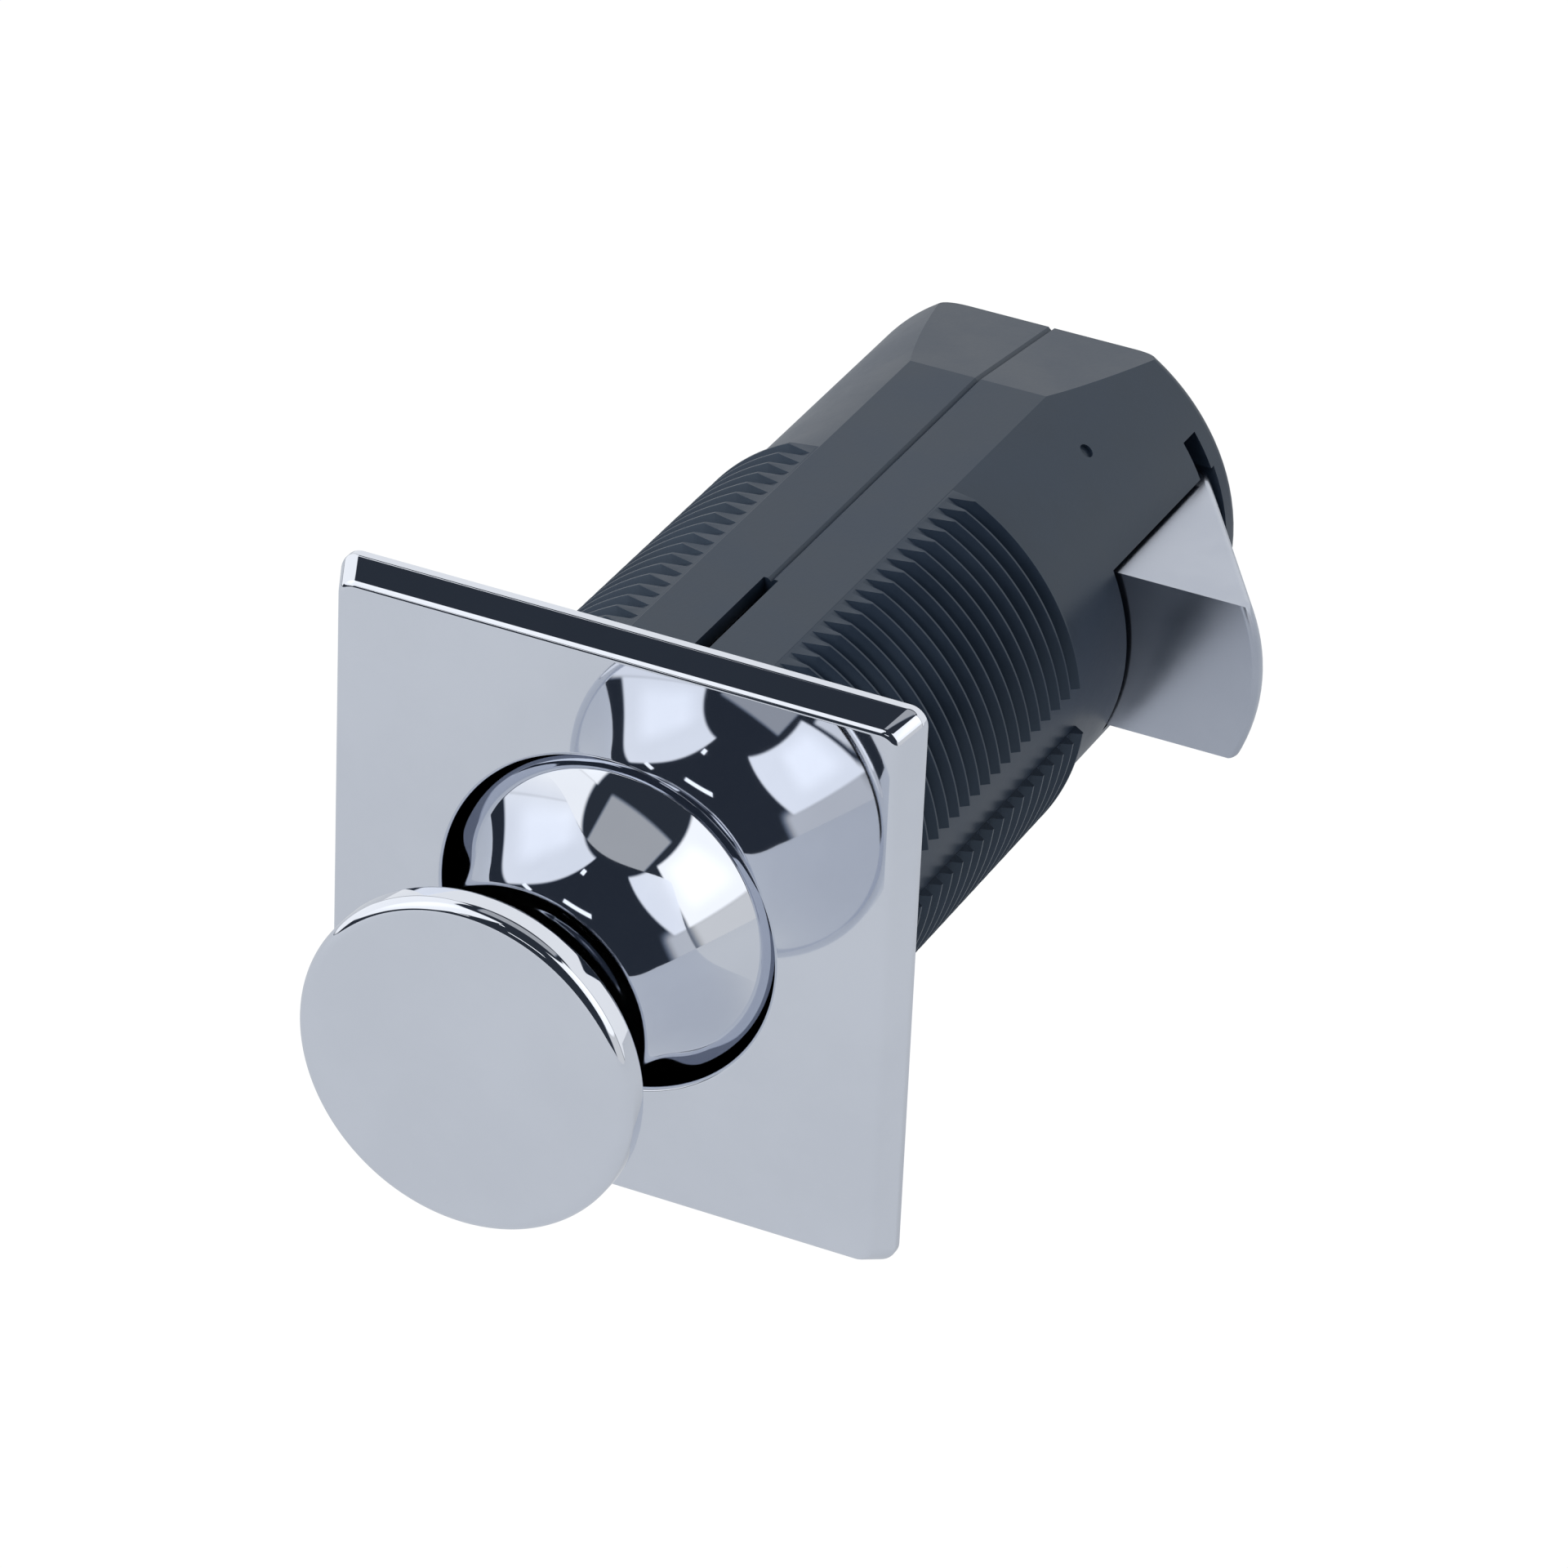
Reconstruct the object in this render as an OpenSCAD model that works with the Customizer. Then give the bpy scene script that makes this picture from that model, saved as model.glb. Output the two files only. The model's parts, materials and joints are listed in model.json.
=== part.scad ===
// Pushbutton latch for a cabinet, locker or hatch door, with a round barrel that is clamped in its hole.
// It is drawn with the knob popped out and the bolt shot. The front of the door faces -Y, the barrel runs
// back along +Y, the bolt points to +X and +Z is up. The origin is on the barrel's axis, in the back of
// the faceplate. Push the knob in and it stays in, almost flush with the plate. Pull it when it is out and
// it draws the bolt back.

/* [Faceplate] */
// Side of the square faceplate
plate_w = 39; // [36:0.5:60]
// Thickness of the faceplate
plate_t = 2.6; // [2.2:0.1:4]
// Rounding of the faceplate's front edges and corners
plate_round = 1; // [0.4:0.1:1.5]
// Gap between the knob and the hole that it slides through
hole_gap = 0.25; // [0.2:0.05:0.4]
// Wall of the spigot round the hole
spigot_wall = 0.75; // [0.6:0.05:1]
// Depth of the round recess in the plate's back, where the barrel's front end is seated
recess_depth = 0.4; // [0.2:0.1:0.8]
// Length of the spigot that enters the barrel
spigot_len = 7; // [6:0.5:10]
// Length of the key beside the slot, along the barrel
key_len = 5; // [3:0.5:6]

/* [Barrel] */
// Wall thickness of the barrel where it is round
wall = 2.05; // [1.9:0.05:2.2]
// Length of the barrel behind the faceplate
barrel_len = 61; // [60:0.5:70]
// Thickness of the wall that closes the rear end
rear_wall = 2; // [1.6:0.1:3]
// Depth of the flats below the round of the barrel
flat_depth = 0.85; // [0.5:0.05:1]
// Angle at which both flats slope inward at the rear
rear_slope = 7.8; // [5:0.1:9]
// Length of the sloped part of the flats
slope_len = 11.7; // [8:0.1:13]
// Least thickness of the walls under the sloped flats
slope_wall = 1.8; // [1.4:0.1:2.1]
// Rounding of the rear edge
rear_round = 1; // [0.4:0.1:1.6]
// Width of the slot behind the plate
slot_w = 1; // [0.8:0.1:1.6]
// Length of the slot
slot_len = 19; // [10:0.5:22]
// Depth of the groove that marks the seam
seam_depth = 0.15; // [0.05:0.01:0.3]

/* [Thread] */
// Height of the interrupted thread above the smooth barrel, which makes it an M30 thread
thread_h = 0.75; // [0.6:0.05:0.9]
// Distance from the plate to the rear end of the thread
thread_end = 36.3; // [25:0.1:40]
// Distance from the plate to the front end of the thread
thread_start = 1; // [0.5:0.1:3]
// Angle from the side of the barrel up to the upper sectors
gap_up = 8.5; // [4:0.5:15]
// Angle from the side of the barrel down to the lower sectors
gap_down = 5.5; // [4:0.5:15]

/* [Bolt] */
// Width of the bolt, along the barrel
bolt_w = 15.3; // [14.8:0.1:15.8]
// Height of the bolt
bolt_h = 11.3; // [9:0.1:11.6]
// Distance that the bolt stands out of the barrel
bolt_out = 8.95; // [8.4:0.05:10]
// Travel of the bolt, and of the carriage that draws it
bolt_travel = 8.2; // [7:0.1:8.3]
// Width of the flat land at the bolt's tip
tip_land = 1.1; // [0.6:0.1:2.5]
// Angle between the bevel and the barrel's axis
bevel_angle = 33; // [31:0.5:36]
// Play between the bolt and its window, above and below
bolt_play = 0.3; // [0.2:0.05:0.4]
// Play between the bolt and its window, at the front and the rear
bolt_gap = 0.4; // [0.3:0.05:0.6]
// Width of the relief notch beside the window's rear corner
notch_w = 1.8; // [1:0.1:3]
// Height of the relief notch above the window
notch_h = 2.35; // [1:0.05:3]

/* [Knob] */
// Diameter of the knob's disc
disc_d = 22.2; // [18:0.1:22.2]
// Thickness of the disc's edge
disc_t = 2.2; // [1.8:0.1:3]
// Rounding of the disc's front edge
disc_round = 0.8; // [0.3:0.1:1]
// Rounding of the disc's back edge
disc_back_round = 0.4; // [0.2:0.1:0.6]
// Distance from the plate's front to the knob's face
knob_out = 18.6; // [18.2:0.1:21]
// Travel of the knob when it is pushed in
knob_travel = 17.5; // [15:0.1:18]
// Least diameter of the concave finger groove between the disc and the skirt
neck_d = 15.6; // [15:0.1:17]
// Distance from the plate's front back to the skirt's front edge
skirt_set = 0.5; // [0.2:0.1:1]
// Diameter of the skirt behind the groove
skirt_d = 21.2; // [21:0.1:21.6]
// Wall of the skirt
skirt_wall = 0.9; // [0.7:0.05:1]
// Length of the skirt behind the plate
skirt_len = 9.5; // [7:0.1:10]

/* [Mechanism] */
// Gap between parts that slide inside one another
gap = 0.3; // [0.2:0.05:0.35]
// Gap between a shaft and its hole
fit = 0.05; // [0.03:0.01:0.1]
// Outside diameter of the plunger
plunger_d = 13; // [12.6:0.1:13.2]
// Bore of the plunger
plunger_bore = 9.2; // [8.8:0.1:9.4]
// Diameter of the collar at the plunger's rear end
collar_d = 15.4; // [14.8:0.1:15.4]
// Thickness of the collar
collar_t = 2; // [1.2:0.1:2.4]
// Thickness of the carriage's front lip
lip_t = 2; // [1.4:0.1:3]
// Wall of the carriage tube
carriage_wall = 1.4; // [1.2:0.1:1.4]
// Width of the rings that guide the carriage
ring_w = 2.5; // [2:0.1:4]
// Thickness of the spring seat
seat_t = 1.4; // [1:0.1:2]
// Thickness of the steel cam plates
cam_t = 1.5; // [1:0.1:1.8]
// Diameter of the drive pin
pin_d = 2.4; // [2:0.1:2.6]
// Diameter of the cam wire
wire_d = 0.9; // [0.7:0.05:1]
// Depth of the cam track in the plunger
track_depth = 1.2; // [1.1:0.05:1.3]
// Wire of the main spring
main_wire = 0.8; // [0.5:0.05:0.9]
// Turns of the main spring
main_turns = 16; // [8:1:18]
// Wire of the bolt spring
bolt_wire = 0.6; // [0.4:0.05:0.7]
// Turns of the bolt spring
bolt_turns = 9; // [6:1:12]
// Diameter of the rod that guides the bolt spring
rod_d = 2.6; // [2:0.1:2.8]

/* [Hidden] */
$fn = 96;
// Reach of a cut beyond the solid that it goes through
over = 1;
// Reach of a shape into its neighbour in the same solid
lap = 0.1;
// Clearance between pieces that don't move against each other
slack = 0.1;
big = 200;

// Faceplate and barrel
// The knob sets the hole, and the hole sets the spigot, the bore, the barrel and the thread round it
disc_r = disc_d / 2;
skirt_r = skirt_d / 2;
hole_r = max(disc_r, skirt_r) + hole_gap;
spigot_r = hole_r + spigot_wall;
bore_r = spigot_r + slack;
barrel_r = bore_r + wall;
thread_r = barrel_r + thread_h;
flat_z = barrel_r - flat_depth;
slope_y = barrel_len - slope_len;
cavity_end = barrel_len - rear_wall;
// Half height of the room behind the carriage, under the sloped flats
room_z = flat_z - tan(rear_slope) * (cavity_end - slope_y) - slope_wall;
front_y = -plate_t;
recess_r = thread_r + slack;
bead_r = bore_r + 0.4;
bead_w = 1;
bead_y = spigot_len - 2;
peg_r = 0.6;
peg_len = 1.5;
peg_z = bolt_h / 2;
peg_y = cavity_end + rear_wall / 2;
mark_r = 0.5;
mark_depth = 0.25;
mark_y = slope_y - 1.8;
mark_angle = 52.6;

// Bolt
bolt_rear = cavity_end - bolt_gap;
bolt_front = bolt_rear - bolt_w;
bolt_top = bolt_h / 2;
tip_x = barrel_r + bolt_out;
tail_x = bolt_travel + gap - sqrt(pow(bore_r, 2) - pow(bolt_top, 2));
window_front = bolt_front - bolt_gap;
window_top = bolt_top + bolt_play;

// Places along the barrel that follow from the travels
seat_rear = bolt_front - gap;
seat_front = seat_rear - seat_t;
plunger_rear = seat_front - gap - knob_travel;
collar_front = plunger_rear - collar_t;
lip_rear = collar_front - gap;
carriage_front = lip_rear - lip_t;
cam_pin_y = carriage_front + lip_t / 2;

// Plunger and carriage
plunger_r = plunger_d / 2;
plunger_bore_r = plunger_bore / 2;
collar_r = collar_d / 2;
tube_bore_r = collar_r + gap;
tube_r = tube_bore_r + carriage_wall;
ring_r = bore_r - gap;
seat_rim = 1.3;
seat_r = ring_r - seat_rim;
ring_set = 10;
ring_y = carriage_front + ring_set;
// Inside radius of the main spring, and the post that it stands round
main_inner_r = plunger_bore_r - gap - main_wire;
post_r = main_inner_r - 1;
post_len = 8;

// Knob
face_y = front_y - knob_out;
disc_back = face_y + disc_t;
skirt_front = front_y + skirt_set;
neck_r = neck_d / 2;
skirt_bore_r = skirt_r - skirt_wall;
// The finger groove is a hollow arc from the disc's back to the skirt's front edge
groove_y = (disc_back + skirt_front) / 2;
groove_half = (skirt_front - disc_back) / 2;
groove_depth = skirt_r - neck_r;
groove_arc = (pow(groove_depth, 2) + pow(groove_half, 2)) / (2 * groove_depth);
// The room inside the skirt starts a little behind the groove's edge
socket_y = skirt_front + skirt_wall / 2;
plunger_set = 8.8;
plunger_front = face_y + plunger_set;
plunger_wall = 2;
screw_r = 1.5;
screw_head_r = 2.6;
screw_head_h = 1.8;
screw_drive_r = 1.1;
screw_drive_depth = 1;
screw_set = 3.6;
screw_tip = face_y + screw_set;

// Cam plates, drive pin and its 45 degree slots
cam_z = bolt_top + gap + 0.15;
cam_left = -6.5;
cam_right = 8;
cam_rear = bolt_rear - 0.6;
flange_t = 1.5;
flange_x = 5.5;
flange_top = room_z - gap - 0.15;
pin_r = pin_d / 2;
pin_x = 5;
pin_y = bolt_front + 3.7;
pin_end = cam_z + cam_t + 0.3;
pin_slot_r = pin_r + slack;

// Bolt spring
rod_r = rod_d / 2;
bolt_bore_r = 3;
bolt_bore_y = bolt_rear - 6.1;
bolt_bore_end = 9;
boss_r = 3.4;
boss_x = -(bore_r - 0.5);
rod_x0 = -bore_r - wall / 2;
rod_end = bolt_bore_end - bolt_travel - 0.5;

// Corners of the cam track, as places of the cam wire seen from the plunger, and the fork between its ways
track_w = wire_d + 0.4;
track_floor = plunger_r - track_depth;
track_side = 2.6;
track_front = cam_pin_y - knob_travel - 1;
track = [
  [0, cam_pin_y],
  [-track_side, cam_pin_y - 6.5],
  [-track_side, track_front + 1],
  [-track_side / 2, track_front + 2.2],
  [0, track_front],
];
track_fork = [0, cam_pin_y - 2.5];
track_r = track_w / 2 + 0.05;
track_step = 0.025;
wire_r = wire_d / 2;
wire_z = -(tube_r - wire_r - 0.15);
wire_reach = 12;
wire_back_y = carriage_front + wire_reach;
wire_slot = wire_d + 2 * slack;

// Turns a shape that is built along Z so that it lies along +Y
module along_y() {
  rotate([-90, 0, 0]) children();
}

// Cylinder along +Y from y0 to y1
module rod_y(r, y0, y1) {
  along_y() translate([0, 0, y0]) cylinder(r = r, h = y1 - y0);
}

// Cylinder along +X from x0 to x1
module rod_x(r, x0, x1) {
  translate([x0, 0, 0]) rotate([0, 90, 0]) cylinder(r = r, h = x1 - x0);
}

// Cylinder along +Z from z0 to z1
module rod_z(r, z0, z1) {
  translate([0, 0, z0]) cylinder(r = r, h = z1 - z0);
}

// Block between two opposite corners
module block(a, b) {
  translate(a) cube(b - a);
}

// Half of the space on one side of the seam, side is 1 for the right and -1 for the left
module half_space(side) {
  translate([side > 0 ? 0 : -big, -big / 2, -big / 2]) cube(big);
}

// Rounded square slab with its back in y = 0 and its rounded front edges at y = -t
module rounded_slab(w, t, r) {
  a = w / 2 - r;
  b = w / 2;
  block([-a, -t, -a], [a, 0, a]);
  block([-b, r - t, -a], [b, 0, a]);
  block([-a, r - t, -b], [a, 0, b]);
  for (sx = [-1, 1]) {
    translate([sx * a, r - t, -a]) cylinder(r = r, h = 2 * a);
    translate([-a, r - t, sx * a]) rotate([0, 90, 0]) cylinder(r = r, h = 2 * a);
    for (sz = [-1, 1]) translate([sx * a, 0, sz * a]) {
      rod_y(r, r - t, 0);
      translate([0, r - t, 0]) sphere(r = r);
    }
  }
}

module faceplate() {
  color("gainsboro") {
    difference() {
      union() {
        difference() {
          rounded_slab(plate_w, plate_t, plate_round);
          rod_y(recess_r, -recess_depth, over);
        }
        rod_y(spigot_r, -recess_depth - lap, spigot_len);
        rod_y(bead_r, bead_y, bead_y + bead_w);
      }
      rod_y(hole_r, -plate_t - over, spigot_len + over);
    }
    // The key fills the front of the slot
    block([-slot_w / 2 + fit, -recess_depth - lap, spigot_r - 2 * lap],
      [slot_w / 2 - fit, key_len, flat_z - slack]);
  }
}

// The same shape above and below the axis, because the barrel is the same both ways up
module above_and_below() {
  for (turn = [0, 180]) rotate([0, turn, 0]) children();
}

// Outline of the barrel with its rounded rear edge, its flats and their sloped ends. Its front end is seated
// in the plate's recess
module barrel_body() {
  difference() {
    along_y() rotate_extrude() {
      translate([0, -recess_depth]) square([barrel_r - rear_round, barrel_len + recess_depth]);
      translate([0, -recess_depth]) square([barrel_r, barrel_len - rear_round + recess_depth]);
      translate([barrel_r - rear_round, barrel_len - rear_round]) circle(r = rear_round);
    }
    above_and_below() {
      translate([-big / 2, -over, flat_z]) cube([big, barrel_len + 2 * over, big]);
      translate([0, slope_y, flat_z]) rotate([-rear_slope, 0, 0])
        translate([-big / 2, 0, 0]) cube([big, 2 * slope_len, big]);
    }
  }
}

// Room inside the barrel: round for the carriage, with flat roof and floor behind it
module barrel_room() {
  rod_y(bore_r, -over, seat_rear + gap);
  intersection() {
    rod_y(bore_r, seat_rear, cavity_end);
    translate([-big / 2, seat_rear, -room_z]) cube([big, big, 2 * room_z]);
  }
  rod_y(bead_r + slack, bead_y - slack, bead_y + bead_w + slack);
}

// Square bar along +Y from y0 to y1, turned by the caller to cut the seam's groove
module seam_bar(y0, y1) {
  block([-seam_depth, y0, -seam_depth], [seam_depth, y1, seam_depth]);
}

module housing() {
  difference() {
    barrel_body();
    barrel_room();
    // Slot for the key, at the seam
    block([-slot_w / 2, -over, 0], [slot_w / 2, slot_len, flat_z + over]);
    // Groove along the seam
    above_and_below() {
      translate([0, 0, flat_z]) rotate([0, 45, 0]) seam_bar(-over, slope_y);
      translate([0, slope_y, flat_z]) rotate([-rear_slope, 0, 0]) rotate([0, 45, 0])
        seam_bar(0, 2 * slope_len);
    }
  }
}

module housing_left() {
  color("dimgray") {
    difference() {
      union() {
        intersection() {
          housing();
          half_space(-1);
        }
        // Flat seat of the bolt spring
        translate([0, bolt_bore_y, 0]) rod_x(boss_r, -bore_r - wall / 3, boss_x);
      }
      translate([0, bolt_bore_y, 0]) rod_x(rod_r, rod_x0, 0);
    }
    for (side = [-1, 1]) translate([0, peg_y, side * peg_z]) rod_x(peg_r, -peg_len / 2, peg_len);
  }
}

module housing_right() {
  color("dimgray") difference() {
    intersection() {
      housing();
      half_space(1);
    }
    // Window of the bolt, and the relief notch above its rear corner
    block([bore_r / 2, window_front, -window_top], [barrel_r + over, cavity_end, window_top]);
    block([bore_r / 2, bolt_rear - notch_w, 0], [barrel_r + over, bolt_rear, window_top + notch_h]);
    for (side = [-1, 1]) translate([0, peg_y, side * peg_z]) rod_x(peg_r + fit, -over, peg_len + slack);
    // Small round moulding mark beside the slope
    rotate([0, -mark_angle, 0]) translate([0, mark_y, 0])
      rod_x(mark_r, barrel_r - mark_depth, barrel_r + over);
  }
}

// Sector of the thread between two angles above the +X side, cut off by the flats
module thread_sector(from, to) {
  color("dimgray") intersection() {
    along_y() rotate([0, 0, -to]) rotate_extrude(angle = to - from)
      translate([barrel_r, thread_start]) square([thread_h, thread_end - thread_start]);
    translate([-big / 2, -big / 2, -flat_z]) cube([big, big, 2 * flat_z]);
  }
}

module thread_upper_right() {
  thread_sector(gap_up, 80);
}

module thread_lower_right() {
  thread_sector(-80, -gap_down);
}

module thread_upper_left() {
  thread_sector(100, 180 - gap_up);
}

module thread_lower_left() {
  thread_sector(180 + gap_down, 260);
}

// Half outline of the knob, radius to the right and distance along the barrel upward
module knob_outline() {
  difference() {
    union() {
      // Disc with rounded edges
      translate([0, face_y]) square([disc_r - disc_round, disc_t]);
      translate([0, face_y + disc_round]) square([disc_r - disc_back_round, disc_t - disc_round]);
      translate([0, face_y + disc_round]) square([disc_r, disc_t - disc_round - disc_back_round]);
      translate([disc_r - disc_round, face_y + disc_round]) circle(r = disc_round);
      translate([disc_r - disc_back_round, disc_back - disc_back_round]) circle(r = disc_back_round);
      // Body that the finger groove is cut into
      polygon([
        [0, disc_back - lap],
        [min(skirt_r, disc_r - disc_back_round), disc_back - lap],
        [skirt_r, skirt_front],
        [0, skirt_front],
      ]);
      // Skirt
      translate([0, skirt_front - lap]) square([skirt_r, skirt_len + lap - skirt_front]);
    }
    // Finger groove
    translate([neck_r + groove_arc, groove_y]) circle(r = groove_arc, $fn = 120);
    // Room inside the skirt
    translate([0, socket_y]) square([skirt_bore_r, big]);
    // Socket for the plunger
    translate([0, plunger_front]) square([plunger_r + fit, big]);
    // Hole for the stem screw
    translate([0, screw_tip]) square([screw_r, big]);
    // Nothing reaches past the axis
    translate([-big, -big / 2]) square([big, big]);
  }
}

module knob() {
  color("gainsboro") along_y() rotate_extrude() knob_outline();
}

// Straight groove of the cam track between two places, down to floor_z
module track_groove(a, b, floor_z) {
  along = b - a;
  translate([a[0], a[1], 0]) rotate([0, 0, atan2(along[1], along[0])])
    block([0, -track_w / 2, -plunger_r - over], [norm(along), track_w / 2, floor_z]);
}

// Cam track: each way starts at a step down from the way before, so the wire can't go back
module cam_track() {
  for (i = [0:len(track) - 1]) {
    next = track[(i + 1) % len(track)];
    floor_z = -track_floor + 2 * i * track_step;
    track_groove(i == 0 ? track_fork : track[i], next, floor_z);
    translate([next[0], next[1], 0]) rod_z(track_r, -plunger_r - over, floor_z + track_step);
  }
}

module plunger() {
  color("darkslategray") difference() {
    union() {
      rod_y(plunger_r, plunger_front, plunger_rear);
      rod_y(collar_r, collar_front, plunger_rear);
    }
    rod_y(plunger_bore_r, plunger_front + plunger_wall, plunger_rear + over);
    rod_y(screw_r + fit, plunger_front - over, plunger_front + plunger_wall + over);
    cam_track();
  }
}

module stem_screw() {
  head_y = plunger_front + plunger_wall;
  color("silver") {
    rod_y(screw_r, screw_tip, head_y + lap);
    difference() {
      rod_y(screw_head_r, head_y, head_y + screw_head_h);
      rod_y(screw_drive_r, head_y + screw_head_h - screw_drive_depth, head_y + screw_head_h + over);
    }
  }
}

// Coil of round wire along +Z with flat closed ends, as one swept tube
module coil(r, wire, length, turns) {
  steps = 14;
  sides = 6;
  n = turns * steps;
  dead = steps;
  rise = length - wire;
  // Height of the wire's middle after i steps, level over the first and the last turn
  function height(i) = wire / 2 + rise * min(1, max(0, (i - dead / 2) / (n - dead)));
  ring = [for (i = [0:n]) let (a = 360 * i / steps) [for (k = [0:sides - 1])
    let (b = 360 * k / sides, q = r + wire / 2 * cos(b), z = height(i) + wire / 2 * sin(b))
      [q * cos(a), q * sin(a), z]]];
  points = [for (loop = ring) for (p = loop) p];
  skin = [for (i = [0:n - 1]) for (k = [0:sides - 1])
    let (m = (k + 1) % sides, u = i * sides, v = (i + 1) * sides) [u + k, u + m, v + m, v + k]];
  caps = [[for (k = [sides - 1:-1:0]) k], [for (k = [0:sides - 1]) n * sides + k]];
  polyhedron(points = points, faces = concat(skin, caps));
}

module main_spring() {
  front = plunger_front + plunger_wall;
  color("silver") along_y() translate([0, 0, front])
    coil(main_inner_r + main_wire / 2, main_wire, seat_front - front, main_turns);
}

module carriage() {
  color("darkslategray") difference() {
    union() {
      rod_y(tube_r, carriage_front, seat_rear);
      rod_y(ring_r, ring_y, ring_y + ring_w);
      rod_y(ring_r, seat_rear - ring_w, seat_rear);
    }
    rod_y(plunger_r + gap, carriage_front - over, lip_rear + over);
    rod_y(tube_bore_r, lip_rear, seat_rear + over);
    rod_y(seat_r, seat_front, seat_rear + over);
    // Hole, slot and anchor hole of the cam wire
    translate([0, cam_pin_y, 0]) rod_z(wire_slot / 2, -tube_r - over, -plunger_r);
    block([-wire_slot / 2, cam_pin_y, -ring_r - over], [wire_slot / 2, wire_back_y, wire_z + wire_slot / 2]);
    translate([0, wire_back_y, 0]) rod_z(wire_slot / 2, -ring_r - over, -tube_bore_r + lap);
  }
}

module spring_seat() {
  color("darkslategray") {
    rod_y(seat_r - fit, seat_front, seat_rear);
    rod_y(post_r, seat_front - post_len, seat_front + lap);
  }
}

// Bracket over the bolt: a flat plate with the slanted slot, and a flange against the spring seat
module cam_plate() {
  color("silver") difference() {
    union() {
      block([cam_left, seat_rear, cam_z], [cam_right, cam_rear, cam_z + cam_t]);
      block([-flange_x, seat_rear, cam_z], [flange_x, seat_rear + flange_t, flange_top]);
    }
    for (s = [0, bolt_travel]) translate([pin_x - s, pin_y + s, 0])
      rod_z(pin_slot_r, cam_z - over, cam_z + cam_t + over);
    translate([pin_x, pin_y, 0]) rotate([0, 0, 135])
      block([0, -pin_slot_r, cam_z - over], [bolt_travel * sqrt(2), pin_slot_r, cam_z + cam_t + over]);
  }
}

module cam_plate_top() {
  cam_plate();
}

module cam_plate_bottom() {
  mirror([0, 0, 1]) cam_plate();
}

module cam_wire() {
  color("silver") {
    translate([0, cam_pin_y, 0]) rod_z(wire_r, wire_z, -track_floor - 0.15);
    translate([0, 0, wire_z]) rod_y(wire_r, cam_pin_y, wire_back_y);
    translate([0, wire_back_y, 0]) rod_z(wire_r, wire_z, -tube_bore_r - 0.2);
    for (y = [cam_pin_y, wire_back_y]) translate([0, y, wire_z]) sphere(r = wire_r);
  }
}

// Wedge of the bolt between its land and its rear face, seen from above, with crowned end faces
module bolt_form() {
  land_y = bolt_front + tip_land;
  intersection() {
    block([tail_x, bolt_front, -bolt_top], [tip_x + over, bolt_rear, bolt_top]);
    // Land: it takes the curve of the barrel
    translate([tip_x - barrel_r, 0, 0]) rod_y(barrel_r, bolt_front - over, bolt_rear + over);
    // Bevel: the same curve swept along the slope, so it is crowned from top to bottom
    translate([tip_x, land_y, 0]) rotate([0, 0, bevel_angle]) translate([-barrel_r, 0, 0])
      rod_y(barrel_r, -bolt_w, 2 * bolt_w);
  }
}

module bolt() {
  color("silver") difference() {
    bolt_form();
    translate([pin_x, pin_y, 0]) rod_z(pin_r, -bolt_top - over, bolt_top + over);
    translate([0, bolt_bore_y, 0]) rod_x(bolt_bore_r, tail_x - over, bolt_bore_end);
  }
}

module drive_pin() {
  color("silver") translate([pin_x, pin_y, 0]) rod_z(pin_r, -pin_end, pin_end);
}

module bolt_spring() {
  color("silver") translate([boss_x, bolt_bore_y, 0]) rotate([0, 90, 0])
    coil(bolt_bore_r - bolt_wire / 2 - gap, bolt_wire, bolt_bore_end - boss_x, bolt_turns);
}

module spring_rod() {
  color("silver") translate([0, bolt_bore_y, 0]) rod_x(rod_r, rod_x0, rod_end);
}

faceplate();
housing_left();
housing_right();
thread_upper_right();
thread_lower_right();
thread_upper_left();
thread_lower_left();
knob();
plunger();
stem_screw();
main_spring();
carriage();
spring_seat();
cam_plate_top();
cam_plate_bottom();
cam_wire();
bolt();
drive_pin();
bolt_spring();
spring_rod();
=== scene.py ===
"""Looks of the pushbutton latch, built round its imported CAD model.

All lengths are in metres, in the frame of the CAD: the barrel runs back along +Y from the
faceplate's back, the bolt points to +X and +Z is up.
"""

import json
import logging
import math
from collections.abc import Callable, Iterator
from contextlib import contextmanager
from dataclasses import dataclass, field
from enum import Enum

import bmesh
import bpy
from mathutils import Matrix, Vector

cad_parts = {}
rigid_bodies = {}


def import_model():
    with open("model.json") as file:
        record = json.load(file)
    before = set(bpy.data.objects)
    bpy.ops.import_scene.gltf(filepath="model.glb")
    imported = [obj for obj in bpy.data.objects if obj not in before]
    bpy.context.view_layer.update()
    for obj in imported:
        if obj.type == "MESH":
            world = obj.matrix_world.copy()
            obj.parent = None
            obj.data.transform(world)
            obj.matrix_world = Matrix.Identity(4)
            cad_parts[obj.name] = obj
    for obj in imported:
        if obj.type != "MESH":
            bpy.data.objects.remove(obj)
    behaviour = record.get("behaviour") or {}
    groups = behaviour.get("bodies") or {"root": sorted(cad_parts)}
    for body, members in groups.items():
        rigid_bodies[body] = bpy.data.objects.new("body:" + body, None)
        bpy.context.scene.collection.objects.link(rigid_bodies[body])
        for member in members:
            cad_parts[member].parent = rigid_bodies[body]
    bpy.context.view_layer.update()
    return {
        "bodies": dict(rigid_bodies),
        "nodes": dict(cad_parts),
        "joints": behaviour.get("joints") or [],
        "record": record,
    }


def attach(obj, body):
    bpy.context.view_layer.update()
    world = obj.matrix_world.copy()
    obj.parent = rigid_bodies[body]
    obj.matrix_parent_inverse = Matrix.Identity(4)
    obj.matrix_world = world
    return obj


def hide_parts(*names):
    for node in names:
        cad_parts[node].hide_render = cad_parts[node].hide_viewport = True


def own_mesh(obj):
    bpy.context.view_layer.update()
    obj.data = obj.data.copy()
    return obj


LOG = logging.getLogger("latch")
MM = 0.001
MERGE = 0.001 * MM
NEAR = 10 * MERGE
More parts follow.
